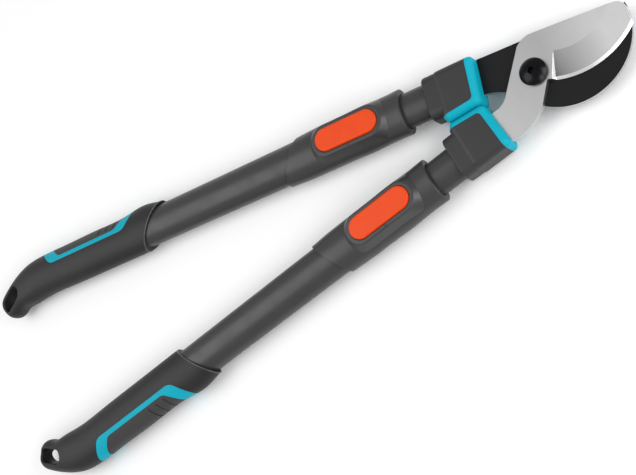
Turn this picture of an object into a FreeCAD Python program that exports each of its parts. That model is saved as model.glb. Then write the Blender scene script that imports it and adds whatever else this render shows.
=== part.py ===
"""Telescopic bypass loppers, closed and retracted, lying flat.

Millimetres. The model is drawn about the pivot: +X towards the blade tips, +Y towards the upper
handle, +Z out of the face that carries the buttons, Z = 0 between the two blades. One handle is
drawn in its own frame (X along the handle towards its tail, Y outwards, Z up), set down as the
lower handle and mirrored for the upper one. At the end all pieces are moved so that the origin is
at the middle of the footprint, on the surface the tool lies on.
"""
import FreeCAD, Part
import math
import os
from FreeCAD import Placement, Rotation, Vector

# ---------------------------------------------------------------- driving dimensions
# blades, across their thickness
cutting_blade_thickness = 4.0
hook_thickness = 3.5
blade_play = 0.3               # gap between the two blades
edge_bevel_height = 1.2        # where the wide grind meets the final bevel
edge_land = 0.2                # thickness left at the very edge
hook_back_chamfer = 0.6

# cutting blade outline, from the pivot's foot on the middle line
edge_radius = 48.2             # cutting edge, an arc
edge_centre = (29.4, 34.8)
edge_bevel_width = 1.7
grind_width = 16.5             # wide hollow behind the edge
grind_heel_angle = -117.0      # degrees about the edge centre, where the grind starts
grind_heel_run = 1.3           # the grind runs out over this length
heel_x = 5.0
tip_x = 59.4
nose_corner = (60.3, 5.0)
nose_crown = (59.5, 10.3)
nose_end = (55.0, 13.0)
spine_end = (9.0, 22.9)
spine_crown = (2.6, 22.9)
spine_shoulder = (-2.6, 20.2)
throat = (-19.6, -1.5)
throat_crown = (-24.2, -6.1)
shank_corner = (-3.4, -18.8)
shank_back_centre = (-26.0, 0.8)
shank_back_x = -24.0

# hook outline
hook_radius = 38.7             # outer back of the hook
hook_centre = (22.0, 10.1)
hook_mouth_radius = 31.0       # inner, cutting side of the hook
hook_mouth_centre = (31.0, 22.0)
hook_corner_x = -3.8
hook_mouth_heel_x = 11.5
hook_tip_land = (-0.4, 1.2)    # small flat at the tip, from the end of the back
hidden_shoulder = (13.5, 7.0)  # under the cutting blade
hidden_crown = (10.5, 17.5)
hook_spine_start = (0.3, 24.3)
crotch = (-20.5, 1.0)
crotch_crown = (-26.8, 4.9)

# pivot
pivot_y = 1.0                  # the pivot sits this far above the seam between the handles
bolt_shoulder_radius = 5.0
running_clearance = 0.05
bolt_head_radius = 8.2
bolt_rim_height = 1.6
bolt_head_height = 4.6
bolt_socket_flats = 4.0
bolt_socket_depth = 2.8
nut_flats = 16.0
nut_height = 5.0
washer_radius = 9.0
washer_thickness = 1.2
bolt_end_length = 0.4

# handle lines
splay = 7.8                    # degrees between a handle and the middle line
handle_offset = 13.4           # handle axis above the middle line, level with the pivot
handle_length = 448.5          # from the pivot's foot on the handle axis to the tail's centre
seam_gap = 0.3                 # between the two bumpers when shut

# tubes (ovals: half width lies in the plane of the blades, half height is across it)
inner_half_width = 11.5
inner_half_height = 7.8
inner_wall = 1.5
outer_wall = 1.2
tube_gap = 0.8                 # between the two tubes, filled by the glides
sliding_clearance = 0.3

# neck housing, bumper and tang
neck_front = 30.0
neck_length = 35.0
neck_side_wall = 2.1
neck_face_wall = 2.0
neck_block_nose = 5.1          # sloping end of the block, from the seam outwards
neck_block_slope = 3.0
neck_edge_radius = 4.95
neck_rim_length = 7.0          # rear rim, a little lower than the block
neck_rim_drop = 0.5
neck_rim_inner_wall = 2.0
neck_rim_corner = 6.0
neck_rim_radius = 1.5
bumper_front_band = 4.0
bumper_side_band = 4.7
tang_half_width = 7.0
blade_tang_edges = (-9.8, 11.3)    # inner and outer edge of the bright tang in the neck
hook_tang_edges = (-10.9, 11.9)
tang_root = 3.0                # the tangs start this far in front of the housing
tube_engagement = 27.0         # length of inner tube held in the neck
tang_engagement = 24.0         # length of tang inside the tube
rivet_radius = 2.2
rivet_head_radius = 3.6
rivet_head_thickness = 1.0
rivet_setback = 10.0           # rear rivet, in front of the housing's rear
rivet_pitch = 10.0

# telescopic stroke and its latch
stroke = 150.0
latch_pitch = 25.0
tube_overlap = 22.0            # tubes still inside each other when drawn out
latch_radius = 3.2
latch_neck_radius = 1.8
latch_above = 0.4              # the pin's head stands out of the tube wall on both sides
latch_under = 0.7
press_travel = 3.0

# lock collar
neck_stretch = 17.0            # bare inner tube between neck and collar
collar_side_wall = 2.2
collar_face_wall = 1.2
collar_rear_slant = 27.0       # degrees, the outer side is shorter
collar_seat = 19.7             # length of outer tube inside the collar, at the axis
collar_end_width = 0.7         # the collar narrows by this at its rear end
collar_end_height = 0.2
collar_front_radius = 0.7
collar_rest_flat = 0.2         # depth of the flat underneath
button_lead = 38.2             # button's middle behind the collar's front
button_length = 45.6
button_width = 15.5
button_height = 2.7
button_edge_radius = 1.2
button_wall = 1.0
button_gap = 0.35
button_foot_gap = 0.2
button_stand = 1.7             # the button stands above the rim
well_floor_thickness = 0.9
button_rim_width = 2.4
button_rim_radius = 1.5
button_rim_reach = 13.0        # how far the rim's foot runs out in front and behind
button_rim_inset = 1.1         # rim's foot, inside the collar's side
button_rim_foot = 2.0
button_to_tube = 5.0
spring_seat = 2.0              # spring outside the latch hole
spring_wire = 0.7
spring_turns = 3.5
spring_room = 0.4
collar_screw_setback = 3.0
collar_screw_radius = 1.3
collar_screw_head_radius = 2.6
collar_screw_head_height = 1.2

# grip
grip_length = 154.7            # from the mouth, at the axis, to the tail's centre
grip_mouth_slant = 35.0
grip_side_wall = 2.7
grip_face_wall = 1.2
grip_mouth_taper = 0.7
guard_height = 2.1             # swell on the outer side near the mouth
guard_setback = 7.2
tail_bend = 38.5               # the bend starts this far in front of the tail's centre
tail_sweep = 11.0              # the tail's centre lies this far inwards
tail_end_radius = 11.5
tail_end_half_height = 9.4
tail_heading = -38.0           # degrees, inwards from the handle
tail_fullness = 2.4            # 2 is an ellipse
tail_steps = 5
tube_to_tail = 23.5            # outer tube ends this far in front of the tail's centre
hanging_hole_length = 23.0
hanging_hole_width = 10.5
hanging_hole_turn = -33.0
hanging_hole_offset = (-2.5, 2.0)
hanging_hole_rim = 1.2         # rounding of the hole's rims
pad_setback = 22.2
pad_to_bend = 12.0
pad_depth = 9.0                # from the palm side towards the axis
pad_front_lean = 11.0
pad_rear_lean = 13.0
inlay_side_band = 3.5
inlay_end_band = 9.5
pad_corner_radius = 6.0
inlay_corner_radius = 9.0
groove_count = 3
groove_setback = 12.0
groove_pitch = 7.5
groove_width = 1.2
groove_depth = 0.7
groove_turn = 20.0

# ---------------------------------------------------------------- values worked out
blade_low = blade_play / 2
blade_top = blade_low + cutting_blade_thickness
hook_top = -blade_play / 2
hook_low = hook_top - hook_thickness
pivot = Vector(0, pivot_y, 0)
splay_sine = math.sin(math.radians(splay))
splay_cosine = math.cos(math.radians(splay))
outer_half_width = inner_half_width + tube_gap + outer_wall
outer_half_height = inner_half_height + tube_gap + outer_wall
neck_rear = neck_front + neck_length
neck_half_width = inner_half_width + neck_side_wall
neck_half_height = inner_half_height + neck_face_wall
neck_block_rear = neck_rear - neck_rim_length
inner_tube_front = neck_rear - tube_engagement
tang_end = inner_tube_front + tang_engagement
rivet_stations = (neck_rear - rivet_setback - rivet_pitch, neck_rear - rivet_setback)
collar_front = neck_rear + neck_stretch
collar_half_width = outer_half_width + collar_side_wall
collar_half_height = outer_half_height + collar_face_wall
rest_height = collar_half_height - collar_rest_flat
button_station = collar_front + button_lead
outer_tube_front = button_station + button_length / 2 + button_to_tube
collar_rear = outer_tube_front + collar_seat
collar_screw_station = outer_tube_front + collar_screw_setback
inner_tube_rear = outer_tube_front + stroke + tube_overlap
button_well_floor = inner_half_height + sliding_clearance + well_floor_thickness
button_bottom = button_well_floor + press_travel + button_foot_gap
button_crown = button_bottom + button_height
button_rim_height = button_crown - button_stand
spring_radius = latch_radius + spring_seat
grip_mouth = handle_length - grip_length
grip_half_width = outer_half_width + grip_side_wall
grip_half_height = outer_half_height + grip_face_wall
guard_station = grip_mouth + guard_setback
bend_station = handle_length - tail_bend
tail_end = (handle_length, -tail_sweep)
outer_tube_rear = handle_length - tube_to_tail
pad_front = grip_mouth + pad_setback
pad_rear = bend_station - pad_to_bend
pad_inner_edge = grip_half_width - pad_depth
lower_handle = Placement(Vector(0, -handle_offset, 0), Rotation(Vector(0, 0, 1), 180.0 + splay))
full_turn = 360.0
far = 600.0
tiny = 1e-6


# ---------------------------------------------------------------- small helpers
def cylinder(radius, low, high, x=0.0, y=0.0):
    """Upright cylinder between two levels."""
    return Part.makeCylinder(radius, high - low, Vector(x, y, low))


def flat_point(place):
    """Point at level 0 over a place in plan."""
    return Vector(place[0], place[1], 0)


def prism(wire, low, high):
    """Upright prism over a flat outline drawn at level 0."""
    face = Part.Face(wire)
    face.translate(Vector(0, 0, low))
    return face.extrude(Vector(0, 0, high - low))


def rounded_outline(corners):
    """Closed outline through corners given as (x, y, radius)."""
    edges = []
    joints = []
    count = len(corners)
    for index, (x, y, radius) in enumerate(corners):
        here = Vector(x, y, 0)
        before = Vector(*corners[index - 1][:2], 0) - here
        after = Vector(*corners[(index + 1) % count][:2], 0) - here
        before.normalize()
        after.normalize()
        half_angle = before.getAngle(after) / 2
        if radius == 0:
            joints.append((here, None, here))
            continue
        reach = radius / math.tan(half_angle)
        middle = (before + after).normalize()
        to_centre = radius / math.sin(half_angle)
        joints.append((here + before * reach, here + middle * (to_centre - radius), here + after * reach))
    for index, (start, crown, end) in enumerate(joints):
        if crown is not None:
            edges.append(Part.Arc(start, crown, end).toShape())
        following = joints[(index + 1) % count][0]
        if (following - end).Length > 1e-6:
            edges.append(Part.LineSegment(end, following).toShape())
    return Part.Wire(edges)


def arc_about(centre, start, end):
    """Arc edge between two points of a circle, the short way round."""
    hub = Vector(centre[0], centre[1], 0)
    radius = (start - hub).Length
    outward = (start + end) * 0.5 - hub
    outward.normalize()
    return Part.Arc(start, hub + outward * radius, end).toShape()


def low_point(centre, radius, x):
    """Point on the lower half of a circle at a given x."""
    return Vector(x, centre[1] - math.sqrt(radius ** 2 - (x - centre[0]) ** 2), 0)


def arc_through(start, crown, end):
    """Arc edge through three points given in plan."""
    return Part.Arc(flat_point(start), flat_point(crown), flat_point(end)).toShape()


def chain(points):
    """Straight edges from point to point."""
    return [Part.LineSegment(a, b).toShape() for a, b in zip(points, points[1:])]


def oval(station, half_width, half_height, slant=0.0, offset=0.0):
    """Oval wire across the handle, tilted in plan so that its outer side comes forward."""
    centre = Vector(station, offset, 0)
    lean = half_width * math.tan(math.radians(slant))
    side = centre + Vector(-lean, half_width, 0)
    crown = centre + Vector(0, 0, half_height)
    return Part.Wire(Part.Ellipse(side, crown, centre).toShape())


def oval_bar(start, end, half_width, half_height):
    """Solid oval bar along the handle."""
    return Part.Face(oval(start, half_width, half_height)).extrude(Vector(end - start, 0, 0))


def oval_tube(start, end, half_width, half_height, wall):
    """Oval tube along the handle."""
    outside = oval_bar(start, end, half_width, half_height)
    return outside.cut(oval_bar(start, end, half_width - wall, half_height - wall))


def full_oval(centre, heading, half_width, half_height, fullness):
    """Section of the grip: an oval with squarer shoulders as fullness goes above 2."""
    along = math.radians(heading)
    across = Vector(-math.sin(along), math.cos(along), 0)
    points = []
    steps = 32
    for step in range(steps):
        angle = 2 * math.pi * step / steps
        c = math.cos(angle)
        s = math.sin(angle)
        width = math.copysign(abs(c) ** (2 / fullness), c) * half_width
        height = math.copysign(abs(s) ** (2 / fullness), s) * half_height
        points.append(Vector(centre[0], centre[1], 0) + across * width + Vector(0, 0, height))
    curve = Part.BSplineCurve()
    curve.interpolate(points, PeriodicFlag=True)
    return Part.Wire(curve.toShape())


def slot_outline(x, y, length, width, turn=0.0):
    """Obround outline centred at a point."""
    straight = (length - width) / 2
    half = width / 2
    ends = [Vector(-straight, -half, 0), Vector(straight, -half, 0),
            Vector(straight, half, 0), Vector(-straight, half, 0)]
    edges = [Part.LineSegment(ends[0], ends[1]).toShape(),
             Part.Arc(ends[1], Vector(straight + half, 0, 0), ends[2]).toShape(),
             Part.LineSegment(ends[2], ends[3]).toShape(),
             Part.Arc(ends[3], Vector(-straight - half, 0, 0), ends[0]).toShape()]
    wire = Part.Wire(edges)
    wire.rotate(Vector(0, 0, 0), Vector(0, 0, 1), turn)
    wire.translate(Vector(x, y, 0))
    return wire


def below(level):
    """Everything under a level."""
    return Part.makeBox(2 * far, 2 * far, far, Vector(-far, -far, level - far))


def hexagon(flats, low, high, x, y):
    """Upright hexagonal prism."""
    corner = flats / math.sqrt(3)
    points = [Vector(x + corner * math.cos(math.radians(60 * k)),
                     y + corner * math.sin(math.radians(60 * k)), 0) for k in range(7)]
    return prism(Part.makePolygon(points), low, high)


def on_lower_handle(shape):
    """Set a piece drawn in the handle's frame down as the lower handle's."""
    placed = shape.copy()
    placed.Placement = lower_handle.multiply(placed.Placement)
    return placed


def mirrored(shape):
    """The same piece on the upper handle."""
    return shape.mirror(Vector(0, 0, 0), Vector(0, 1, 0))


def mirror_point(point):
    return Vector(point.x, -point.y, 0)


def handle_point(station, outwards):
    """Plan position on the lower handle."""
    return lower_handle.multVec(Vector(station, outwards, 0))


# ---------------------------------------------------------------- blades
def tang(low, high, inner_edge, outer_edge):
    """Tail of a blade: full width in the neck, narrower inside the tube."""
    shoulder = inner_tube_front - 1.5
    front = neck_front - tang_root
    corners = [(front, inner_edge, 0), (shoulder, inner_edge, 1),
               (shoulder, -tang_half_width, 0.5), (tang_end, -tang_half_width, 2),
               (tang_end, tang_half_width, 2), (shoulder, tang_half_width, 0.5),
               (shoulder, outer_edge, 1), (front, outer_edge, 0)]
    plate = prism(rounded_outline(corners), low, high)
    for station in rivet_stations:
        plate = plate.cut(cylinder(rivet_radius, low - 1, high + 1, station))
    return plate


def cutting_blade():
    """Bright upper blade; its tang runs to the lower handle."""
    inner = handle_point(neck_front, blade_tang_edges[0])
    outer = handle_point(neck_front, blade_tang_edges[1])
    heel = low_point(edge_centre, edge_radius, heel_x)
    tip = low_point(edge_centre, edge_radius, tip_x)
    shank = flat_point(shank_corner)
    back_radius = (shank - flat_point(shank_back_centre)).Length
    back = low_point(shank_back_centre, back_radius, shank_back_x)
    edges = [arc_about(edge_centre, heel, tip)]
    edges += chain([tip, flat_point(nose_corner)])
    edges.append(arc_through(nose_corner, nose_crown, nose_end))
    edges += chain([flat_point(nose_end), flat_point(spine_end)])
    edges.append(arc_through(spine_end, spine_crown, spine_shoulder))
    edges += chain([flat_point(spine_shoulder), flat_point(throat)])
    edges.append(arc_through(throat, throat_crown, inner))
    edges += chain([inner, outer, back])
    edges.append(arc_about(shank_back_centre, back, shank))
    edges += chain([shank, heel])
    plate = prism(Part.Wire(edges), blade_low, blade_top)
    plate = plate.cut(blade_grind())
    tail = on_lower_handle(tang(blade_low, blade_top, *blade_tang_edges))
    plate = plate.fuse(tail).removeSplitter()
    bore = bolt_shoulder_radius + running_clearance
    return plate.cut(cylinder(bore, blade_low - 1, blade_top + 1, pivot.x, pivot.y))


def blade_grind():
    """What the grinding wheel takes off: a shallow cone, the narrow final bevel, a sloping heel."""
    start = edge_radius - grind_width
    bevel = edge_radius - edge_bevel_width
    beyond = edge_radius + 20
    clear = blade_top + 5
    profile = [Vector(start, 0, blade_top), Vector(bevel, 0, blade_low + edge_bevel_height),
               Vector(edge_radius, 0, blade_low + edge_land), Vector(beyond, 0, blade_low + edge_land),
               Vector(beyond, 0, clear), Vector(start, 0, clear), Vector(start, 0, blade_top)]
    face = Part.Face(Part.makePolygon(profile))
    solid = face.revolve(Vector(0, 0, 0), Vector(0, 0, 1), 100)
    depth = blade_top - blade_low - edge_bevel_height
    slope = math.degrees(math.atan2(depth, grind_heel_run))
    wedge = Part.makeBox(2 * beyond, 2 * beyond, 2 * beyond, Vector(0, 0, 0))
    wedge.rotate(Vector(0, 0, 0), Vector(1, 0, 0), -slope)
    wedge.translate(Vector(0, 0, blade_top))
    solid = solid.common(wedge)
    solid.rotate(Vector(0, 0, 0), Vector(0, 0, 1), grind_heel_angle)
    solid.translate(flat_point(edge_centre))
    return solid


def hook_blade():
    """Dark lower blade with the curved hook; its tang runs to the upper handle."""
    inner = mirror_point(handle_point(neck_front, hook_tang_edges[0]))
    outer = mirror_point(handle_point(neck_front, hook_tang_edges[1]))
    corner = low_point(hook_centre, hook_radius, hook_corner_x)
    tip_out = Vector(hook_centre[0] + hook_radius, hook_centre[1], 0)
    tip_top = tip_out + flat_point(hook_tip_land)
    mouth_tip = low_point(hook_mouth_centre, hook_mouth_radius, tip_x)
    mouth_heel = low_point(hook_mouth_centre, hook_mouth_radius, hook_mouth_heel_x)
    edges = [arc_about(hook_centre, corner, tip_out)]
    edges += chain([tip_out, tip_top, mouth_tip])
    edges.append(arc_about(hook_mouth_centre, mouth_tip, mouth_heel))
    edges += chain([mouth_heel, flat_point(hidden_shoulder)])
    edges.append(arc_through(hidden_shoulder, hidden_crown, hook_spine_start))
    edges += chain([flat_point(hook_spine_start), outer, inner])
    edges.append(arc_through(inner, crotch_crown, crotch))
    edges += chain([flat_point(crotch), corner])
    plate = prism(Part.Wire(edges), hook_low, hook_top)
    plate = plate.cut(hook_back_bevel())
    tail = mirrored(on_lower_handle(tang(hook_low, hook_top, *hook_tang_edges)))
    plate = plate.fuse(tail).removeSplitter()
    return plate.cut(cylinder(bolt_shoulder_radius, hook_low - 1, hook_top + 1, pivot.x, pivot.y))


def hook_back_bevel():
    """Narrow bevel along the lower edge of the hook's back."""
    size = hook_back_chamfer
    profile = [Vector(hook_radius - size, 0, hook_low), Vector(hook_radius + 1, 0, hook_low - 1),
               Vector(hook_radius + 1, 0, hook_low + size + 1), Vector(hook_radius - size, 0, hook_low)]
    ring = Part.Face(Part.makePolygon(profile)).revolve(Vector(0, 0, 0), Vector(0, 0, 1), 135)
    ring.rotate(Vector(0, 0, 0), Vector(0, 0, 1), -130)
    ring.translate(Vector(hook_centre[0], hook_centre[1], 0))
    return ring


# ---------------------------------------------------------------- pivot
def pivot_bolt():
    """Domed bolt with a hexagon socket, shoulder through both blades."""
    seat = blade_top + blade_play
    rim = seat + bolt_rim_height
    crown = seat + bolt_head_height
    thread_end = hook_low - washer_thickness - nut_height - bolt_end_length
    start = Vector(0, 0, thread_end)
    outline = chain([start, Vector(bolt_shoulder_radius, 0, thread_end),
                     Vector(bolt_shoulder_radius, 0, seat), Vector(bolt_head_radius, 0, seat),
                     Vector(bolt_head_radius, 0, rim)])
    outline.append(Part.Arc(Vector(bolt_head_radius, 0, rim),
                            Vector(bolt_head_radius * 0.62, 0, rim + 0.66 * (crown - rim)),
                            Vector(0, 0, crown)).toShape())
    outline += chain([Vector(0, 0, crown), start])
    bolt = Part.Face(Part.Wire(outline)).revolve(Vector(0, 0, 0), Vector(0, 0, 1), full_turn)
    bolt.translate(pivot)
    return bolt.cut(hexagon(bolt_socket_flats, crown - bolt_socket_depth, crown + 1, pivot.x, pivot.y))


def pivot_washer():
    """Plain washer under the hook."""
    disc = cylinder(washer_radius, hook_low - washer_thickness, hook_low, pivot.x, pivot.y)
    return disc.cut(cylinder(bolt_shoulder_radius, hook_low - 5, hook_low + 1, pivot.x, pivot.y))


def pivot_nut():
    """Flat locking nut with chamfered corners."""
    top = hook_low - washer_thickness
    nut = hexagon(nut_flats, top - nut_height, top, pivot.x, pivot.y)
    corner = nut_flats / math.sqrt(3)
    cone = Part.makeCone(nut_flats / 2, nut_flats / 2 + nut_height, nut_height,
                         Vector(pivot.x, pivot.y, top - nut_height))
    keep = cone.common(cylinder(corner + 1, top - nut_height, top, pivot.x, pivot.y))
    thread = cylinder(bolt_shoulder_radius, top - nut_height - 1, top + 1, pivot.x, pivot.y)
    return nut.common(keep).cut(thread)


# ---------------------------------------------------------------- neck: housing, bumper, rivets
def seam_line(station):
    """Outward position of the bumper's face, which is parallel to the middle line."""
    return (seam_gap / 2 - handle_offset - station * splay_sine) / splay_cosine


def neck_block():
    """Moulded block round the tang and the tube's front end, bumper included."""
    outer = neck_half_width
    inner = seam_line(neck_block_rear) + neck_block_nose
    step = neck_block_rear - neck_block_slope
    corners = [(neck_front, outer, 3), (neck_block_rear, outer, 4), (neck_block_rear, inner, 1.5),
               (step, seam_line(step), 1.5), (neck_front + 2, seam_line(neck_front + 2), 4)]
    block = prism(rounded_outline(corners), -neck_half_height, neck_half_height)
    rims = [edge for edge in block.Edges if edge.BoundBox.ZLength < tiny]
    return block.makeFillet(neck_edge_radius, rims)


def bumper_zone():
    """Plan of the bumper: a band across the front and one along the inner side."""
    back = neck_front + 2 + bumper_front_band
    rear = neck_block_rear + 0.5
    wide = 2 * neck_half_width
    corners = [(neck_front - 9, wide, 0), (neck_front - 9, -2 * wide, 0), (rear, -2 * wide, 0),
               (rear, seam_line(rear) + bumper_side_band, 0), (back, seam_line(back) + bumper_side_band, 3),
               (neck_front + bumper_front_band - 0.3, wide, 0)]
    return prism(rounded_outline(corners), -far, far)


def neck_rim():
    """Rounded collar behind the block, a little lower than it."""
    level = neck_half_height - neck_rim_drop
    inner = neck_half_width + neck_rim_inner_wall
    start = neck_block_rear - 2 * neck_rim_length
    rim = Part.makeBox(neck_rear - start, inner + neck_half_width, 2 * level, Vector(start, -inner, -level))
    long_edges = [edge for edge in rim.Edges if edge.BoundBox.XLength > 1]
    rim = rim.makeFillet(neck_rim_corner, long_edges)
    end = [edge for edge in rim.Edges if edge.BoundBox.XMin > neck_rear - 0.01]
    return rim.makeFillet(neck_rim_radius, end)


def neck_body():
    return neck_block().fuse(neck_rim()).removeSplitter()


def tang_rivets():
    """Two rivets through the tube and the tang, hidden in the housing."""
    rivets = []
    level = inner_half_height
    for station in rivet_stations:
        shank = cylinder(rivet_radius, -level, level, station)
        top = cylinder(rivet_head_radius, level, level + rivet_head_thickness, station)
        foot = cylinder(rivet_head_radius, -level - rivet_head_thickness, -level, station)
        rivets.append(shank.fuse([top, foot]).removeSplitter())
    return Part.makeCompound(rivets)


def neck_housing(blade_tang):
    """Plastic housing, moulded round the tang, the tube and the rivets."""
    housing = neck_body().cut(bumper_zone())
    housing = housing.cut(oval_bar(inner_tube_front, neck_rear + 1, inner_half_width, inner_half_height))
    housing = housing.cut(tang_rivets())
    return on_lower_handle(housing.cut(blade_tang))


def bumper(blade_tang):
    """Soft stop: the handles meet on it when the blades are shut."""
    soft = neck_body().common(bumper_zone())
    return on_lower_handle(soft.cut(blade_tang))


# ---------------------------------------------------------------- tubes
def inner_tube():
    """Sliding inner tube with the row of latch holes joined by a narrow slot."""
    tube = oval_tube(inner_tube_front, inner_tube_rear, inner_half_width, inner_half_height, inner_wall)
    for station in rivet_stations:
        tube = tube.cut(cylinder(rivet_radius, -far, far, station))
    hole = latch_radius + sliding_clearance
    slot = slot_outline(button_station + stroke / 2, 0, stroke + 2 * hole,
                        2 * (latch_neck_radius + sliding_clearance))
    tube = tube.cut(prism(slot, 0, inner_half_height + 1))
    for step in range(round(stroke / latch_pitch) + 1):
        tube = tube.cut(cylinder(hole, 0, inner_half_height + 1, button_station + step * latch_pitch))
    return tube


def tube_glide():
    """Plastic end plug that keeps the inner tube centred in the outer one."""
    flange_half_width = outer_half_width - outer_wall - sliding_clearance
    flange_half_height = outer_half_height - outer_wall - sliding_clearance
    flange = oval_bar(inner_tube_rear, inner_tube_rear + 4, flange_half_width, flange_half_height)
    stub = oval_bar(inner_tube_rear - 12, inner_tube_rear, inner_half_width - inner_wall,
                    inner_half_height - inner_wall)
    return flange.fuse(stub).removeSplitter()


def outer_tube():
    """Outer tube, from inside the collar to inside the grip."""
    tube = oval_tube(outer_tube_front, outer_tube_rear, outer_half_width, outer_half_height, outer_wall)
    return tube.cut(collar_screw())


# ---------------------------------------------------------------- lock collar, button, latch
def collar_form():
    """Smooth outer shape of the collar: full at the front, drawn in at its slanted rear."""
    width = collar_half_width
    height = collar_half_height
    end_width = width - collar_end_width
    end_height = height - collar_end_height
    slant = collar_rear_slant
    sections = [oval(collar_front, width - 0.3, height - 0.1),
                oval(collar_front + 5, width - 0.4, height - 0.2),
                oval(collar_front + 12, width - 0.5, height - 0.2),
                oval(collar_front + 24, width, height),
                oval(button_station, width, height),
                oval(button_station + 20, width, height, slant / 3),
                oval(collar_rear - 18, width, height, slant),
                oval(collar_rear - 8, width - 0.3, height, slant),
                oval(collar_rear, end_width, end_height, slant)]
    body = Part.makeLoft(sections, True, False)
    front = [edge for edge in body.Edges if edge.BoundBox.XMax < collar_front + tiny]
    return body.makeFillet(collar_front_radius, front)


def lock_collar():
    """Collar on the outer tube, with a raised well for the button."""
    body = collar_form().fuse(button_surround()).removeSplitter()
    slide_width = inner_half_width + sliding_clearance
    body = body.cut(oval_bar(0, far, slide_width, inner_half_height + sliding_clearance))
    body = body.cut(oval_bar(outer_tube_front, far, outer_half_width, outer_half_height))
    well = slot_outline(button_station, 0, button_length + 2 * button_gap, button_width + 2 * button_gap)
    body = body.cut(prism(well, button_well_floor, far))
    body = body.cut(cylinder(latch_radius + sliding_clearance, 0, far, button_station))
    body = body.cut(collar_screw())
    return body.cut(below(-rest_height))


def button_surround():
    """Raised rim round the button, sloping into the collar."""
    top_length = button_length + 2 * (button_gap + button_rim_width)
    top_width = button_width + 2 * (button_gap + button_rim_width)
    foot_width = 2 * (collar_half_width - button_rim_inset)
    foot = slot_outline(button_station, 0, top_length + 2 * button_rim_reach, foot_width)
    foot.translate(Vector(0, 0, button_rim_foot))
    crown = slot_outline(button_station, 0, top_length, top_width)
    crown.translate(Vector(0, 0, button_rim_height))
    rim = Part.makeLoft([foot, crown], True, True)
    top = [edge for edge in rim.Edges if edge.BoundBox.ZMin > button_rim_height - tiny]
    rim = rim.makeFillet(button_rim_radius, top)
    return rim.common(Part.makeBox(far, 2 * far, 2 * far, Vector(collar_front + 2, -far, -far)))


def collar_screw():
    """Countersunk screw from below that holds the collar on the tube."""
    head_low = -rest_height
    head_top = head_low + collar_screw_head_height
    head = Part.makeCone(collar_screw_head_radius, collar_screw_radius, collar_screw_head_height,
                         Vector(collar_screw_station, 0, head_low))
    shank = cylinder(collar_screw_radius, head_top, -outer_half_height + outer_wall, collar_screw_station)
    return head.fuse(shank).removeSplitter()


def lock_button():
    """Obround push button, hollow underneath for the spring."""
    cap = prism(slot_outline(button_station, 0, button_length, button_width), button_bottom, button_crown)
    top = [edge for edge in cap.Edges if edge.BoundBox.ZMin > button_crown - tiny]
    cap = cap.makeFillet(button_edge_radius, top)
    pocket_radius = spring_radius + spring_wire + spring_room
    pocket = cylinder(pocket_radius, 0, button_crown - button_wall, button_station)
    pin_seat = cylinder(latch_neck_radius, 0, button_crown - button_wall / 2, button_station)
    return cap.cut(pocket).cut(pin_seat)


def latch_pin():
    """Steel pin: a thick head that locks in a hole, a neck that passes the slot when pressed."""
    head_top = inner_half_height + latch_above
    head_low = inner_half_height - inner_wall - latch_under
    head = cylinder(latch_radius, head_low, head_top, button_station)
    neck = cylinder(latch_neck_radius, head_top, button_crown - button_wall / 2, button_station)
    return head.fuse(neck).removeSplitter()


def button_spring():
    """Return spring between the well's floor and the button."""
    low = button_well_floor + spring_wire / 2
    high = button_crown - button_wall - spring_wire / 2
    height = high - low
    helix = Part.makeLongHelix(height / spring_turns, height, spring_radius)
    start = Vector(spring_radius, 0, 0)
    section = Part.Wire(Part.Circle(start, Vector(0, 1, 0), spring_wire / 2).toShape())
    coil = Part.Wire(helix.Edges).makePipeShell([section], True, True)
    coil.translate(Vector(button_station, 0, low))
    return coil


# ---------------------------------------------------------------- grip
def grip_form():
    """Outer shape of the grip before it is shared out between core, inlay and pad."""
    half = grip_half_width
    height = grip_half_height
    guard = guard_height
    mouth = half - grip_mouth_taper
    straight = [(guard_station - 30, mouth - 0.3, 0), (guard_station - 18, mouth, 0),
                (guard_station - 8, half + 0.3 * guard, 0.3 * guard),
                (guard_station, half + 0.5 * guard, 0.5 * guard),
                (guard_station + 8, half + 0.35 * guard, 0.35 * guard),
                (guard_station + 20, half, 0), (guard_station + 45, half, 0),
                (bend_station - 25, half, 0), (bend_station, half, 0)]
    sections = [full_oval((station, offset), 0, width, height, 2.0) for station, width, offset in straight]
    sections.append(full_oval((bend_station + 14, -1.6), -10, half - 0.4, height, 2.1))
    sections.append(full_oval((bend_station + 26, -5.2), -24, half - 2.4, height - 0.5, 2.3))
    heading = math.radians(tail_heading)
    for step in range(tail_steps + 1):
        share = math.sin(math.pi / 2 * step / tail_steps) * 0.995
        reach = share * tail_end_radius
        shrink = (1 - share ** tail_fullness) ** (1 / tail_fullness)
        centre = (tail_end[0] + reach * math.cos(heading), tail_end[1] + reach * math.sin(heading))
        sections.append(full_oval(centre, tail_heading, tail_end_radius * shrink,
                                  tail_end_half_height * shrink, tail_fullness))
    return Part.makeLoft(sections, True, False)


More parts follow.
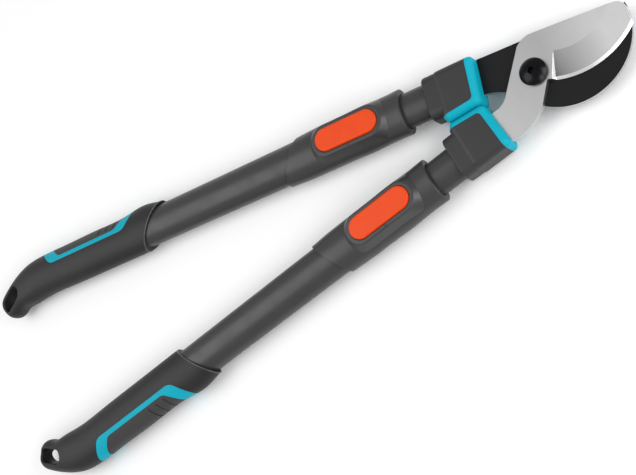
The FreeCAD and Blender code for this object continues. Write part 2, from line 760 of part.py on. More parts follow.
def grip_body():
    """Grip with its slanted mouth, tube bore, hanging hole and flat underside."""
    body = grip_form()
    lean = far * math.tan(math.radians(grip_mouth_slant))
    mouth = [Vector(-far, -far, 0), Vector(grip_mouth + lean, -far, 0),
             Vector(grip_mouth - lean, far, 0), Vector(-far, far, 0), Vector(-far, -far, 0)]
    body = body.cut(prism(Part.makePolygon(mouth), -far, far))
    body = body.cut(oval_bar(0, outer_tube_rear, outer_half_width, outer_half_height))
    middle = flat_point(tail_end) + flat_point(hanging_hole_offset)
    hole = slot_outline(middle.x, middle.y, hanging_hole_length, hanging_hole_width, hanging_hole_turn)
    body = body.cut(prism(hole, -far, far)).cut(below(-rest_height))
    reach = hanging_hole_length / 2 + 1
    rims = [edge for edge in body.Edges if edge.BoundBox.ZLength < tail_end_half_height
            and flat_point(edge.CenterOfMass).distanceToPoint(middle) < reach
            and edge.BoundBox.XMin > middle.x - reach and edge.BoundBox.XMax < middle.x + reach]
    return body.makeFillet(hanging_hole_rim, rims)


def palm_zone(front, rear, edge, radius):
    """Plan of a panel on the palm side, with both ends leaning outwards."""
    side = grip_half_width + 2
    beyond = 2 * grip_half_width
    corners = [(front - 6, beyond, 0), (front, side, 0), (front + pad_front_lean, edge, radius),
               (rear + 1 - pad_rear_lean, edge, radius), (rear + 1, side, 0), (rear + 3, beyond, 0)]
    return prism(rounded_outline(corners), -far, far)


def pad_zone():
    return palm_zone(pad_front, pad_rear, pad_inner_edge, pad_corner_radius)


def inlay_zone():
    return palm_zone(pad_front - inlay_end_band, pad_rear + inlay_end_band,
                     pad_inner_edge - inlay_side_band, inlay_corner_radius)


def grip_core(body):
    """Hard part of the grip with the hooked tail."""
    return body.cut(inlay_zone())


def grip_inlay(body):
    """Coloured frame round the palm pad."""
    return body.common(inlay_zone()).cut(pad_zone())


def grip_pad(body):
    """Soft pad under the palm, with slanted grooves near its front."""
    pad = body.common(pad_zone())
    skin_width = grip_half_width - groove_depth
    skin = oval_bar(pad_front - 20, pad_rear, skin_width, grip_half_height - groove_depth)
    for index in range(groove_count):
        station = pad_front + groove_setback + index * groove_pitch
        groove = Part.makeBox(groove_width, 40, 2 * grip_half_height, Vector(0, 0, -grip_half_height))
        groove.rotate(Vector(0, 0, 0), Vector(0, 0, 1), groove_turn)
        groove.translate(Vector(station, pad_inner_edge + 2, 0))
        pad = pad.cut(groove.cut(skin))
    return pad


# ---------------------------------------------------------------- assembly
def build():
    """All pieces by name, still about the pivot."""
    pieces = {"cutting_blade": cutting_blade(), "hook_blade": hook_blade(), "pivot_bolt": pivot_bolt(),
              "pivot_washer": pivot_washer(), "pivot_nut": pivot_nut()}
    blade_tang = tang(blade_low, blade_top, *blade_tang_edges)
    hook_tang = tang(hook_low, hook_top, *hook_tang_edges)
    grip = grip_body()
    same_both_sides = {
        "tang_rivets": tang_rivets(), "inner_tube": inner_tube(), "tube_glide": tube_glide(),
        "outer_tube": outer_tube(), "lock_collar": lock_collar(), "collar_screw": collar_screw(),
        "lock_button": lock_button(), "latch_pin": latch_pin(), "button_spring": button_spring(),
        "grip_core": grip_core(grip), "grip_inlay": grip_inlay(grip), "grip_pad": grip_pad(grip)}
    for name, shape in same_both_sides.items():
        placed = on_lower_handle(shape)
        pieces["lower_" + name] = placed
        pieces["upper_" + name] = mirrored(placed)
    pieces["lower_neck_housing"] = neck_housing(blade_tang)
    pieces["upper_neck_housing"] = mirrored(neck_housing(hook_tang))
    pieces["lower_bumper"] = bumper(blade_tang)
    pieces["upper_bumper"] = mirrored(bumper(hook_tang))
    return pieces


def main():
    """Build, move to the standing frame and write one file per piece."""
    os.makedirs("parts", exist_ok=True)
    tip = hook_centre[0] + hook_radius
    tail = handle_point(*tail_end).x - tail_end_radius
    to_rest = Vector(-(tip + tail) / 2, 0, rest_height)
    print("overall length", round(tip - tail, 2), "pivot at", round(to_rest.x, 3), pivot_y, rest_height)
    for name, shape in build().items():
        shape.translate(to_rest)
        print(name, len(shape.Solids), shape.isValid(), round(shape.Volume, 1))
        shape.exportStep("parts/" + name + ".step")


main()
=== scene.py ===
"""Telescopic bypass loppers, shut and pushed in, lying on a pale studio floor."""
import math

import bmesh
import bpy
from mathutils import Euler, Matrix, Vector


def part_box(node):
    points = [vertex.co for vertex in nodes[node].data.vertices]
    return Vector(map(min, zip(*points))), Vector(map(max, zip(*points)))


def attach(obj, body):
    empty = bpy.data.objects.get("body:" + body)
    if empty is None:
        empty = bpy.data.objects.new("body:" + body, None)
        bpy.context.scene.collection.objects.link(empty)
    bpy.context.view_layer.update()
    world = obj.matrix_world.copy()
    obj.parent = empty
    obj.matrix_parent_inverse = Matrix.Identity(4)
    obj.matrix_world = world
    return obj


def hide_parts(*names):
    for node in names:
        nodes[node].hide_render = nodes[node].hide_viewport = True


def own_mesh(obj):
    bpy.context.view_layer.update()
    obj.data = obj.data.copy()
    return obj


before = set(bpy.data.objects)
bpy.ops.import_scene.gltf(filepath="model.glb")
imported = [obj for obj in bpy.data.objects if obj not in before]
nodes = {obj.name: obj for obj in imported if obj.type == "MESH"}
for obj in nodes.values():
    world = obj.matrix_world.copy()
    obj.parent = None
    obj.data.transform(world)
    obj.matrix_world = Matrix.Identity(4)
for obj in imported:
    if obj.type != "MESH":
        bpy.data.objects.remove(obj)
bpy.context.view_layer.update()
MM = 0.001
SIDES = (("upper", 1), ("lower", -1))

# sizes of the loppers, in millimetres and degrees
PIVOT_X = 198.322                                   # the pivot, in front of the frame's origin
BOLT_CENTRE = (PIVOT_X, 1.0)
GRIND_CENTRE = (PIVOT_X + 29.4, 34.8)               # the hollow grind lies outside this circle
GRIND_RADIUS = 31.5
# the blade's painted shade and painted highlight run from the heel to the tip
GRIND_HEEL = PIVOT_X + 10.0
GRIND_TIP = PIVOT_X + 44.0
HOOK_BACK_CENTRE = (PIVOT_X + 22.0, 10.1)           # the hook's bare back lies outside this circle
HOOK_BACK_RADIUS = 37.8
STIPPLE_START = -118.0                              # the stipple fades in along the grip
STIPPLE_FULL = -138.0
SPLAY = 7.8
HANDLE_OFFSET = 13.4
REST_HEIGHT = 10.8
TUBE_HALF_WIDTH = 13.5
TUBE_HALF_HEIGHT = 9.8
MOUTH_SLANT = 35.0
LIP_RADIUS = 0.45
SPRING_WIRE = 0.7
SPRING_TURNS = 3.5
GATE_MARKS = ((80.55, -39.32), (77.92, 20.10))      # one beside each button

# name, place, aim and width in metres, power in watts
SOFTBOXES = (("left_softbox", (-0.9, 0.1, 1.2), (0.0, 0.0, 0.0), 1.2, 10.0),
             ("right_softbox", (1.0, -0.2, 0.5), (0.15, 0.0, 0.0), 0.6, 5.0),
             ("near_softbox", (0.7, -0.85, 0.9), (0.0, 0.0, 0.0), 0.6, 4.0))
SKY_STRENGTH = 0.52
FLOOR_REACH = 4.0


# ---------------------------------------------------------------- helpers for node trees
def tint(code):
    """sRGB hex colour as the linear values a shader wants."""
    channels = [int(code[start:start + 2], 16) / 255 for start in (1, 3, 5)]
    linear = [c / 12.92 if c <= 0.04045 else ((c + 0.055) / 1.055) ** 2.4 for c in channels]
    return (*linear, 1.0)


def add(tree, kind, inputs=None, **settings):
    """Add a node. An input is a value, or the node or socket that feeds it, keyed by name or by place:
    in a Map Range the places are value, from low, from high, to low, to high; in a colour Mix 0 is the
    factor and 6 and 7 the colours, in a number Mix 2 and 3 the numbers."""
    made = tree.nodes.new(kind)
    for name, value in settings.items():
        setattr(made, name, value)
    for key, value in (inputs or {}).items():
        if isinstance(value, bpy.types.Node):
            value = next(socket for socket in value.outputs if socket.enabled)
        if isinstance(value, bpy.types.NodeSocket):
            tree.links.new(value, made.inputs[key])
        else:
            made.inputs[key].default_value = value
    return made


def cells(size):
    """Scale that gives a pattern cells of this size in millimetres."""
    return 1 / (size * MM)


def blank(name):
    """New material, its empty node tree and its object coordinates."""
    material = bpy.data.materials.new(name)
    material.use_nodes = True
    tree = material.node_tree
    tree.nodes.clear()
    return material, tree, add(tree, "ShaderNodeTexCoord").outputs["Object"]


def close(tree, inputs):
    """End a material in a shader with these inputs."""
    shader = add(tree, "ShaderNodeBsdfPrincipled", inputs)
    add(tree, "ShaderNodeOutputMaterial", {"Surface": shader})


def relief(tree, height, depth, edge_radius):
    """Bump of a depth over edges softened by a radius, both in millimetres."""
    soft = add(tree, "ShaderNodeBevel", {"Radius": edge_radius * MM})
    return add(tree, "ShaderNodeBump", {"Height": height, "Strength": 0.6, "Distance": depth * MM,
                                        "Normal": soft})


def plan_distance(tree, place, centre):
    """Distance in plan from a point given in millimetres, in metres."""
    middle = (centre[0] * MM, centre[1] * MM, 0.0)
    shifted = add(tree, "ShaderNodeVectorMath", {0: place, 1: middle}, operation="SUBTRACT")
    flat = add(tree, "ShaderNodeVectorMath", {0: shifted, 1: (1.0, 1.0, 0.0)}, operation="MULTIPLY")
    return add(tree, "ShaderNodeVectorMath", {0: flat}, operation="LENGTH")


def facing_up(tree):
    """How far the true surface faces up or down: 1 on flat faces, 0 on side walls."""
    normal = add(tree, "ShaderNodeNewGeometry").outputs["True Normal"]
    upright = add(tree, "ShaderNodeSeparateXYZ", {0: normal}).outputs["Z"]
    return add(tree, "ShaderNodeMath", {0: upright}, operation="ABSOLUTE")


# ---------------------------------------------------------------- materials
# Grain, flecks and grinding lines are a tenth of a millimetre or less on the tool. They are drawn
# three to five times as coarse, so that they still show.
def moulded_nylon(name, dark, light, smoothest, gates=()):
    """Glass-filled nylon from a spark-eroded mould: matt grey with a fine even grain, flecks of fibre
    near the skin and a small dark mark at each gate."""
    material, tree, place = blank(name)
    grain = add(tree, "ShaderNodeTexNoise", {"Vector": place, "Scale": cells(0.55), "Detail": 3.0})
    cloud = add(tree, "ShaderNodeTexNoise", {"Vector": place, "Scale": cells(30)})
    fibre = add(tree, "ShaderNodeTexNoise", {"Vector": place, "Scale": cells(0.3), "Detail": 1.0})
    fleck = add(tree, "ShaderNodeMapRange", {0: fibre, 1: 0.62, 2: 0.75, 3: 0.0, 4: 0.35})
    shade = add(tree, "ShaderNodeMix", {0: cloud, 6: tint(dark), 7: tint(light)}, data_type="RGBA")
    shade = add(tree, "ShaderNodeMix", {0: fleck, 6: shade, 7: tint("#48484A")}, data_type="RGBA")
    rough = add(tree, "ShaderNodeMapRange", {0: grain, 1: 0.3, 2: 0.7, 3: smoothest, 4: smoothest + 0.1})
    height = add(tree, "ShaderNodeMath", {0: grain, 1: 0.1}, operation="MULTIPLY")
    for gate in gates:
        reach = plan_distance(tree, place, gate)
        mark = add(tree, "ShaderNodeMapRange", {0: reach, 1: 0.5 * MM, 2: 0.9 * MM, 3: 1.0, 4: 0.0})
        height = add(tree, "ShaderNodeMath", {0: height, 1: mark}, operation="SUBTRACT")
        shade = add(tree, "ShaderNodeMix", {0: mark, 6: shade, 7: tint("#1C1C1D")}, data_type="RGBA")
    close(tree, {"Base Color": shade, "Roughness": rough, "IOR": 1.48,
                 "Normal": relief(tree, height, 0.4, 0.5)})
    return material


def grip_nylon():
    """The same nylon in the grips, darker, with a small raised stipple towards the tail that stops the
    hand sliding and is rubbed paler on its tops."""
    material, tree, place = blank("grip_nylon")
    grain = add(tree, "ShaderNodeTexNoise", {"Vector": place, "Scale": cells(0.55), "Detail": 3.0})
    cloud = add(tree, "ShaderNodeTexNoise", {"Vector": place, "Scale": cells(26)})
    pimple = add(tree, "ShaderNodeTexVoronoi", {"Vector": place, "Scale": cells(1.5), "Randomness": 0.35})
    dots = add(tree, "ShaderNodeMapRange", {0: pimple, 1: 0.18, 2: 0.36, 3: 1.0, 4: 0.0})
    along = add(tree, "ShaderNodeSeparateXYZ", {0: place}).outputs["X"]
    tail = add(tree, "ShaderNodeMapRange", {0: along, 1: STIPPLE_START * MM, 2: STIPPLE_FULL * MM,
                                            3: 0.0, 4: 1.0})
    stipple = add(tree, "ShaderNodeMath", {0: dots, 1: tail}, operation="MULTIPLY")
    height = add(tree, "ShaderNodeMath", {0: grain, 1: 0.35, 2: stipple}, operation="MULTIPLY_ADD")
    worn = add(tree, "ShaderNodeMath", {0: stipple, 1: 0.15}, operation="MULTIPLY")
    shade = add(tree, "ShaderNodeMix", {0: cloud, 6: tint("#1A1A1B"), 7: tint("#222122")}, data_type="RGBA")
    shade = add(tree, "ShaderNodeMix", {0: worn, 6: shade, 7: tint("#444445")}, data_type="RGBA")
    rough = add(tree, "ShaderNodeMapRange", {0: grain, 1: 0.3, 2: 0.7, 3: 0.44, 4: 0.58})
    close(tree, {"Base Color": shade, "Roughness": rough, "IOR": 1.42,
                 "Normal": relief(tree, height, 0.1, 0.5)})
    return material


def powder_coat():
    """Satin powder coat on aluminium tube: dark grey with faint orange peel, a fine sparkle and slight
    rub marks in its shine."""
    material, tree, place = blank("powder_coated_aluminium")
    peel = add(tree, "ShaderNodeTexNoise", {"Vector": place, "Scale": cells(1.4)})
    spark = add(tree, "ShaderNodeTexNoise", {"Vector": place, "Scale": cells(0.22), "Detail": 1.0})
    fleck = add(tree, "ShaderNodeMapRange", {0: spark, 1: 0.6, 2: 0.74, 3: 0.0, 4: 0.5})
    shade = add(tree, "ShaderNodeMix", {0: fleck, 6: tint("#323233"), 7: tint("#505052")}, data_type="RGBA")
    rub = add(tree, "ShaderNodeTexNoise", {"Vector": place, "Scale": cells(12), "Detail": 4.0})
    rough = add(tree, "ShaderNodeMapRange", {0: rub, 1: 0.45, 2: 0.7, 3: 0.34, 4: 0.44})
    close(tree, {"Base Color": shade, "Roughness": rough, "IOR": 1.5,
                 "Normal": relief(tree, peel, 0.04, 0.3)})
    return material


def cyan_rubber():
    """Thermoplastic rubber from a matt mould: bright cyan, almost no shine, fine grain."""
    material, tree, place = blank("cyan_rubber")
    grain = add(tree, "ShaderNodeTexNoise", {"Vector": place, "Scale": cells(0.8)})
    cloud = add(tree, "ShaderNodeTexNoise", {"Vector": place, "Scale": cells(14)})
    shade = add(tree, "ShaderNodeMix", {0: cloud, 6: tint("#009EB4"), 7: tint("#00ABC0")}, data_type="RGBA")
    rough = add(tree, "ShaderNodeMapRange", {0: grain, 1: 0.3, 2: 0.7, 3: 0.46, 4: 0.6})
    close(tree, {"Base Color": shade, "Roughness": rough, "IOR": 1.28,
                 "Normal": relief(tree, grain, 0.05, 0.6)})
    return material


def pad_rubber():
    """Soft palm rubber, moulded with a fine pebble: dull dark grey."""
    material, tree, place = blank("pad_rubber")
    pebble = add(tree, "ShaderNodeTexVoronoi", {"Vector": place, "Scale": cells(0.9)})
    cloud = add(tree, "ShaderNodeTexNoise", {"Vector": place, "Scale": cells(18)})
    shade = add(tree, "ShaderNodeMix", {0: cloud, 6: tint("#2C2C2D"), 7: tint("#363637")}, data_type="RGBA")
    rough = add(tree, "ShaderNodeMapRange", {0: cloud, 1: 0.3, 2: 0.7, 3: 0.6, 4: 0.72})
    close(tree, {"Base Color": shade, "Roughness": rough, "IOR": 1.48, "Sheen Weight": 0.05,
                 "Normal": relief(tree, pebble, 0.1, 0.5)})
    return material


def orange_abs():
    """Satin moulded ABS: strong orange, slight flow mottle, soft grain where the thumb goes."""
    material, tree, place = blank("orange_abs")
    flow = add(tree, "ShaderNodeTexNoise", {"Vector": place, "Scale": cells(9)})
    grain = add(tree, "ShaderNodeTexNoise", {"Vector": place, "Scale": cells(0.5)})
    shade = add(tree, "ShaderNodeMix", {0: flow, 6: tint("#DC3E00"), 7: tint("#EA4A00")}, data_type="RGBA")
    rough = add(tree, "ShaderNodeMapRange", {0: flow, 1: 0.3, 2: 0.7, 3: 0.36, 4: 0.46})
    close(tree, {"Base Color": shade, "Roughness": rough, "IOR": 1.36,
                 "Normal": relief(tree, grain, 0.02, 0.3)})
    return material


def ground_steel():
    """Hardened blade steel, fine ground, with grinding lines that follow the face and the hollow grind. The
    face and the hollow grind are painted darker at the heel and brighter towards the tip, a painted shade
    and painted highlight along the blade, and the final bevel is painted near-white as a painted highlight."""
    material, tree, place = blank("ground_steel")
    radius = plan_distance(tree, place, GRIND_CENTRE)
    along = add(tree, "ShaderNodeSeparateXYZ", {0: place}).outputs["X"]
    slope = facing_up(tree)
    # the hollow grind leans a little off the flat, the bevel and the grind's heel lean more
    leaning = add(tree, "ShaderNodeMath", {0: slope, 1: 0.998}, operation="LESS_THAN")
    shallow = add(tree, "ShaderNodeMath", {0: slope, 1: 0.93}, operation="GREATER_THAN")
    steep = add(tree, "ShaderNodeMath", {0: slope, 1: 0.615, 2: 0.315}, operation="COMPARE")
    zone = add(tree, "ShaderNodeMapRange", {0: radius, 1: (GRIND_RADIUS - 0.5) * MM,
                                            2: (GRIND_RADIUS + 0.5) * MM, 3: 0.0, 4: 1.0})
    hollow = add(tree, "ShaderNodeMath", {0: leaning, 1: shallow}, operation="MULTIPLY")
    hollow = add(tree, "ShaderNodeMath", {0: hollow, 1: zone}, operation="MULTIPLY")
    # painted light: the face and the grind are painted darker at the heel and brighter towards the tip,
    # painted shade and painted highlight along the blade
    painted_light_ramp = add(tree, "ShaderNodeMapRange", {0: along, 1: GRIND_HEEL * MM, 2: GRIND_TIP * MM, 3: 0.0, 4: 1.0})
    grind = add(tree, "ShaderNodeMix", {0: painted_light_ramp, 6: tint("#606060"), 7: tint("#FFFFFF")}, data_type="RGBA")
    flat = add(tree, "ShaderNodeMix", {0: painted_light_ramp, 6: tint("#D0D0D0"), 7: tint("#FCFCFC")}, data_type="RGBA")
    shade = add(tree, "ShaderNodeMix", {0: hollow, 6: flat, 7: grind}, data_type="RGBA")
    # painted highlight: the bevel and the grind's heel wall are painted near-white
    shade = add(tree, "ShaderNodeMix", {0: steep, 6: shade, 7: tint("#FAFAFA")}, data_type="RGBA")
    # the face's lines are long and lie at a slant along the blade, about 0.45 mm apart
    slanted = add(tree, "ShaderNodeMapping", {"Vector": place, "Rotation": (0, 0, math.radians(12)),
                                              "Scale": (60, 2200, 2200)})
    lines = add(tree, "ShaderNodeTexNoise", {"Vector": slanted, "Scale": 1.0, "Detail": 4.0})
    # the hollow grind's run round its circle, about 0.4 mm apart
    ring = add(tree, "ShaderNodeMath", {0: radius, 1: 2600.0}, operation="MULTIPLY")
    rings = add(tree, "ShaderNodeTexNoise", {"W": ring, "Scale": 1.0, "Detail": 3.0}, noise_dimensions="1D")
    marks = add(tree, "ShaderNodeMix", {0: hollow, 2: lines, 3: rings}, data_type="FLOAT")
    dark = add(tree, "ShaderNodeMapRange", {0: marks, 1: 0.35, 2: 0.75, 3: 0.0, 4: 0.14})
    smudge = add(tree, "ShaderNodeTexNoise", {"Vector": place, "Scale": cells(16), "Detail": 3.0})
    dull = add(tree, "ShaderNodeMapRange", {0: smudge, 1: 0.4, 2: 0.75, 3: 0.0, 4: 0.1})
    shade = add(tree, "ShaderNodeMix", {0: dark, 6: shade, 7: tint("#A4A4A4")}, data_type="RGBA")
    shade = add(tree, "ShaderNodeMix", {0: dull, 6: shade, 7: tint("#A8A8A6")}, data_type="RGBA")
    rough = add(tree, "ShaderNodeMapRange", {0: marks, 1: 0.3, 2: 0.7, 3: 0.28, 4: 0.42})
    close(tree, {"Base Color": shade, "Roughness": rough, "Metallic": 1.0,
                 "Normal": relief(tree, marks, 0.005, 0.25)})
    return material


def coated_steel():
    """Hook steel with a baked low-friction coating: dull black and speckled on its faces, bare ground
    metal on the outer back."""
    material, tree, place = blank("coated_steel")
    speckle = add(tree, "ShaderNodeTexNoise", {"Vector": place, "Scale": cells(0.5), "Detail": 3.0})
    # side walls are bare, with a ragged line where the coating ends
    ragged = add(tree, "ShaderNodeMath", {0: speckle, 1: 0.12, 2: facing_up(tree)}, operation="MULTIPLY_ADD")
    wall = add(tree, "ShaderNodeMapRange", {0: ragged, 1: 0.6, 2: 0.9, 3: 1.0, 4: 0.0})
    radius = plan_distance(tree, place, HOOK_BACK_CENTRE)
    back = add(tree, "ShaderNodeMapRange", {0: radius, 1: (HOOK_BACK_RADIUS - 0.2) * MM,
                                            2: (HOOK_BACK_RADIUS + 0.2) * MM, 3: 0.0, 4: 1.0})
    bare = add(tree, "ShaderNodeMath", {0: wall, 1: back}, operation="MULTIPLY")
    cloud = add(tree, "ShaderNodeTexNoise", {"Vector": place, "Scale": cells(11), "Detail": 3.0})
    shade = add(tree, "ShaderNodeMix", {0: cloud, 6: tint("#0A0A0B"), 7: tint("#121213")}, data_type="RGBA")
    shade = add(tree, "ShaderNodeMix", {0: bare, 6: shade, 7: tint("#BEBEBE")}, data_type="RGBA")
    rough = add(tree, "ShaderNodeMapRange", {0: speckle, 1: 0.3, 2: 0.7, 3: 0.4, 4: 0.56})
    close(tree, {"Base Color": shade, "Roughness": rough, "Metallic": bare, "IOR": 1.33,
                 "Normal": relief(tree, speckle, 0.01, 0.3)})
    return material


def black_oxide():
    """Blackened steel bolt, lightly oiled: near-black metal with faint turning rings and a soft shine
    round its dome."""
    material, tree, place = blank("black_oxide")
    radius = plan_distance(tree, place, BOLT_CENTRE)
    # rings about 0.3 mm apart
    ring = add(tree, "ShaderNodeMath", {0: radius, 1: 3200.0}, operation="MULTIPLY")
    rings = add(tree, "ShaderNodeTexNoise", {"W": ring, "Scale": 1.0}, noise_dimensions="1D")
    bloom = add(tree, "ShaderNodeTexNoise", {"Vector": place, "Scale": cells(3), "Detail": 3.0})
    shade = add(tree, "ShaderNodeMix", {0: bloom, 6: tint("#1F1F21"), 7: tint("#2A2A2C")}, data_type="RGBA")
    rough = add(tree, "ShaderNodeMapRange", {0: bloom, 1: 0.3, 2: 0.7, 3: 0.2, 4: 0.3})
    close(tree, {"Base Color": shade, "Roughness": rough, "Metallic": 1.0,
                 "Normal": relief(tree, rings, 0.003, 0.25)})
    return material


def zinc_steel():
    """Zinc-plated steel: pale blue-grey, smooth, with the plating's faint cloudiness."""
    material, tree, place = blank("zinc_steel")
    cloud = add(tree, "ShaderNodeTexNoise", {"Vector": place, "Scale": cells(2.5), "Detail": 3.0})
    grain = add(tree, "ShaderNodeTexNoise", {"Vector": place, "Scale": cells(0.6)})
    shade = add(tree, "ShaderNodeMix", {0: cloud, 6: tint("#A6AAAE"), 7: tint("#BFC1C2")}, data_type="RGBA")
    rough = add(tree, "ShaderNodeMapRange", {0: cloud, 1: 0.3, 2: 0.7, 3: 0.24, 4: 0.38})
    close(tree, {"Base Color": shade, "Roughness": rough, "Metallic": 1.0,
                 "Normal": relief(tree, grain, 0.004, 0.2)})
    return material


def black_nylon():
    """Smooth black nylon glide, polished and scuffed where it slides."""
    material, tree, place = blank("black_nylon")
    scuff = add(tree, "ShaderNodeTexNoise", {"Vector": place, "Scale": cells(4), "Detail": 4.0})
    shade = add(tree, "ShaderNodeMix", {0: scuff, 6: tint("#101011"), 7: tint("#1A1A1B")}, data_type="RGBA")
    rough = add(tree, "ShaderNodeMapRange", {0: scuff, 1: 0.3, 2: 0.7, 3: 0.3, 4: 0.46})
    close(tree, {"Base Color": shade, "Roughness": rough, "IOR": 1.53,
                 "Normal": relief(tree, scuff, 0.01, 0.3)})
    return material


def lip_nylon_painted_highlight():
    """The grip's nylon where the mould is polished along a rounded lip: glossy, and painted a lighter grey
    than the grip's own nylon as a painted highlight.
    """
    material, tree, place = blank("lip_nylon_painted_highlight")
    grain = add(tree, "ShaderNodeTexNoise", {"Vector": place, "Scale": cells(1.2)})
    # painted highlight: a lighter grey than the grip's nylon
    shade = add(tree, "ShaderNodeMix", {0: grain, 6: tint("#434344"), 7: tint("#525253")}, data_type="RGBA")
    rough = add(tree, "ShaderNodeMapRange", {0: grain, 1: 0.3, 2: 0.7, 3: 0.2, 4: 0.3})
    close(tree, {"Base Color": shade, "Roughness": rough, "IOR": 1.53,
                 "Normal": relief(tree, grain, 0.01, 0.05)})
    return material


def painted_floor():
    """Matt white painted floor: nearly even, with a barely visible mottle."""
    material, tree, place = blank("painted_floor")
    cloud = add(tree, "ShaderNodeTexNoise", {"Vector": place, "Scale": cells(300)})
    shade = add(tree, "ShaderNodeMix", {0: cloud, 6: tint("#FBFBFB"), 7: tint("#FDFDFD")}, data_type="RGBA")
    close(tree, {"Base Color": shade, "Roughness": 0.95})
    return material


# ---------------------------------------------------------------- a finish for every CAD piece
def dress(piece, finish):
    """Give a piece this finish and no other."""
    piece.data.materials.clear()
    piece.data.materials.append(finish)


zinc = zinc_steel()
oxide = black_oxide()
tube_coat = powder_coat()
cyan = cyan_rubber()
blade_finishes = {"cutting_blade": ground_steel(), "hook_blade": coated_steel(), "pivot_bolt": oxide,
                  "pivot_washer": zinc, "pivot_nut": oxide}
# the collars are the same nylon as the housings, painted a lighter grey as a painted highlight for the shine
# on their slopes
handle_finishes = {"neck_housing": moulded_nylon("housing_nylon", "#262628", "#2E2E2F", 0.42),
                   "bumper": cyan, "tang_rivets": zinc, "inner_tube": tube_coat,
                   "tube_glide": black_nylon(), "outer_tube": tube_coat,
                   "lock_collar": moulded_nylon("collar_nylon_painted_highlight", "#323233", "#3A3A3B", 0.3, GATE_MARKS),
                   "collar_screw": oxide, "lock_button": orange_abs(), "latch_pin": zinc,
                   "button_spring": zinc, "grip_core": grip_nylon(), "grip_inlay": cyan,
                   "grip_pad": pad_rubber()}
for node, finish in blade_finishes.items():
    dress(nodes[node], finish)
for kind, finish in handle_finishes.items():
    for side, _ in SIDES:
        dress(nodes[side + "_" + kind], finish)


# ---------------------------------------------------------------- lips and springs
def new_tree(name, given, numbers, made):
    """Empty node tree that takes a geometry, some numbers and a finish, and gives a geometry."""
    tree = bpy.data.node_groups.new(name, "GeometryNodeTree")
    face = tree.interface
    face.new_socket(given, in_out="INPUT", socket_type="NodeSocketGeometry")
    for label in numbers:
        face.new_socket(label, in_out="INPUT", socket_type="NodeSocketFloat")
    face.new_socket("Finish", in_out="INPUT", socket_type="NodeSocketMaterial")
    face.new_socket(made, in_out="OUTPUT", socket_type="NodeSocketGeometry")
    return tree, add(tree, "NodeGroupInput").outputs


def bead_tree():
    """Sweeps a small round bead along the edge it is given."""
    tree, given = new_tree("lip_bead", "Edge", ("Radius",), "Bead")
    line = add(tree, "GeometryNodeMeshToCurve", {"Mesh": given["Edge"]})
    even = add(tree, "GeometryNodeResampleCurve", {"Curve": line, "Length": 1.0 * MM}, mode="LENGTH")
    ring = add(tree, "GeometryNodeCurvePrimitiveCircle", {"Resolution": 16, "Radius": given["Radius"]})
    swept = add(tree, "GeometryNodeCurveToMesh", {"Curve": even, "Profile Curve": ring})
    whole = add(tree, "GeometryNodeRealizeInstances", {"Geometry": swept})
    dressed = add(tree, "GeometryNodeSetMaterial", {"Geometry": whole, "Material": given["Finish"]})
    add(tree, "NodeGroupOutput", {"Bead": dressed})
    return tree


def coil_tree():
    """Winds a wire into an open coil on each point it is given."""
    tree, given = new_tree("coil_spring", "Feet", ("Coil Radius", "Wire Radius", "Turns", "Height"),
                           "Springs")
    path = add(tree, "GeometryNodeCurveSpiral", {"Resolution": 48, "Rotations": given["Turns"],
                                                 "Start Radius": given["Coil Radius"],
                                                 "End Radius": given["Coil Radius"],
                                                 "Height": given["Height"]})
    wire = add(tree, "GeometryNodeCurvePrimitiveCircle", {"Resolution": 12, "Radius": given["Wire Radius"]})
    coil = add(tree, "GeometryNodeCurveToMesh", {"Curve": path, "Profile Curve": wire, "Fill Caps": True})
    placed = add(tree, "GeometryNodeInstanceOnPoints", {"Points": given["Feet"], "Instance": coil})
    whole = add(tree, "GeometryNodeRealizeInstances", {"Geometry": placed})
    dressed = add(tree, "GeometryNodeSetMaterial", {"Geometry": whole, "Material": given["Finish"]})
    add(tree, "NodeGroupOutput", {"Springs": dressed})
    return tree


def mouth_edge(core, side):
    """Outer edge of a grip's slanted mouth as a line of edges, drawn in so that a bead on it stays
    inside the grip's outline."""
    turn = math.radians(SPLAY)
    along = Vector((-math.cos(turn), side * math.sin(turn), 0.0))
    outwards = Vector((math.sin(turn), side * math.cos(turn), 0.0))
    pivot = Vector((PIVOT_X * MM, side * HANDLE_OFFSET * MM, REST_HEIGHT * MM))
    lean = math.radians(MOUTH_SLANT)
    opening = -(along * math.cos(lean) + outwards * math.sin(lean))
    work = bmesh.new()
    work.from_mesh(core.data)
    bmesh.ops.remove_doubles(work, verts=work.verts, dist=0.001 * MM)
    work.normal_update()
    points = {}
    links = []
    for edge in work.edges:
        if len(edge.link_faces) != 2:
            continue
        # one face lies in the mouth's plane, the other turns away, and the edge is outside the tube
        facings = sorted(face.normal.dot(opening) for face in edge.link_faces)
        middle = (edge.verts[0].co + edge.verts[1].co) / 2 - pivot
        reach = math.hypot(middle.dot(outwards) / TUBE_HALF_WIDTH, middle.z / TUBE_HALF_HEIGHT)
        if facings[1] > 0.999 and facings[0] < 0.9 and reach > 1.05 * MM:
            for vert in edge.verts:
                points.setdefault(vert.index, vert.co.copy())
            links.append((edge.verts[0].index, edge.verts[1].index))
    work.free()
    order = {index: place for place, index in enumerate(points)}
    centre = sum(points.values(), Vector()) / len(points)
    spots = []
    for point in points.values():
        inward = (centre - point).normalized()
        spot = point + (inward - opening).normalized() * LIP_RADIUS * 0.8 * MM
        spot.z = max(spot.z, LIP_RADIUS * MM)       # the bead stays off the ground
        spots.append(spot)
    line = bpy.data.meshes.new("mouth_edge")
    line.from_pydata(spots, [(order[first], order[last]) for first, last in links], [])
    return line


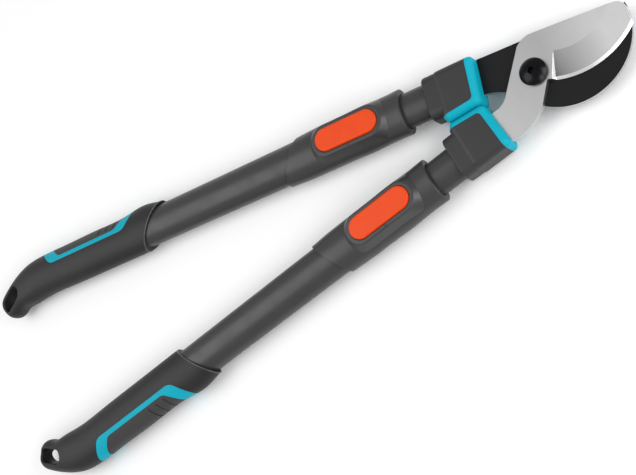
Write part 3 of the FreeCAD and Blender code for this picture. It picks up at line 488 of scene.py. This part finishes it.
def grow(name, body, seed, tree, sizes, finish):
    """Run a tree on a seed mesh and keep what it makes as one plain mesh that rides a body."""
    maker = bpy.data.objects.new("maker", seed)
    bpy.context.scene.collection.objects.link(maker)
    modifier = maker.modifiers.new("shape", "NODES")
    modifier.node_group = tree
    sockets = {item.name: item.identifier for item in tree.interface.items_tree if item.in_out == "INPUT"}
    for label, value in {**sizes, "Finish": finish}.items():
        modifier[sockets[label]] = value
    bpy.context.view_layer.update()
    evaluated = maker.evaluated_get(bpy.context.evaluated_depsgraph_get())
    mesh = bpy.data.meshes.new_from_object(evaluated)
    mesh.name = name
    mesh.shade_smooth()
    piece = bpy.data.objects.new(name, mesh)
    bpy.context.scene.collection.objects.link(piece)
    bpy.data.objects.remove(maker)
    dress(piece, finish)
    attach(piece, body)
    return piece


def make_lips():
    """Rounded lip on the outer edge of each grip's mouth."""
    tree = bead_tree()
    finish = lip_nylon_painted_highlight()
    for side, sign in SIDES:
        edge = mouth_edge(nodes[side + "_grip_core"], sign)
        grow(side + "_grip_lip", side + "_handle", edge, tree,
             {"Radius": LIP_RADIUS * MM}, finish)


def make_springs():
    """Button springs, each just where its CAD piece is."""
    tree = coil_tree()
    for side, _ in SIDES:
        low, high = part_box(side + "_button_spring")
        foot = Vector(((low.x + high.x) / 2, (low.y + high.y) / 2, low.z + SPRING_WIRE / 2 * MM))
        seed = bpy.data.meshes.new("spring_foot")
        seed.from_pydata([foot], [], [])
        sizes = {"Coil Radius": (high.x - low.x - SPRING_WIRE * MM) / 2,
                 "Wire Radius": SPRING_WIRE / 2 * MM, "Turns": SPRING_TURNS,
                 "Height": high.z - low.z - SPRING_WIRE * MM}
        spring = grow(side + "_spring", side + "_handle", seed, tree, sizes, zinc)
        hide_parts(side + "_button_spring")
        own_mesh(spring)


make_lips()
make_springs()


# ---------------------------------------------------------------- camera, light, floor
def make_camera():
    camera = bpy.data.objects.new("camera", bpy.data.cameras.new("camera"))
    bpy.context.scene.collection.objects.link(camera)
    camera.location = Vector((299.1, -225.1, 535.0)) * MM
    camera.rotation_euler = Euler([math.radians(angle) for angle in (7.696, 32.255, -23.070)], "XYZ")
    camera.data.sensor_width = 36.0
    camera.data.lens = 54.506
    camera.data.clip_start = 0.01
    camera.data.clip_end = 50.0
    bpy.context.scene.camera = camera


def make_lights():
    for name, place, aim, width, power in SOFTBOXES:
        lamp = bpy.data.objects.new(name, bpy.data.lights.new(name, "AREA"))
        bpy.context.scene.collection.objects.link(lamp)
        lamp.data.size = width
        lamp.data.energy = power
        lamp.location = place
        lamp.rotation_euler = (Vector(aim) - Vector(place)).to_track_quat("-Z", "Y").to_euler()
    world = bpy.data.worlds.new("studio")
    bpy.context.scene.world = world
    world.use_nodes = True
    sky = world.node_tree.nodes["Background"].inputs
    sky["Color"].default_value = (1.0, 1.0, 1.0, 1.0)
    sky["Strength"].default_value = SKY_STRENGTH
    bpy.context.scene.view_settings.view_transform = "Standard"


def make_floor():
    mesh = bpy.data.meshes.new("floor")
    reach = FLOOR_REACH
    mesh.from_pydata([(-reach, -reach, 0), (reach, -reach, 0), (reach, reach, 0), (-reach, reach, 0)], [],
                     [(0, 1, 2, 3)])
    floor = bpy.data.objects.new("floor", mesh)
    bpy.context.scene.collection.objects.link(floor)
    dress(floor, painted_floor())


make_camera()
make_lights()
make_floor()
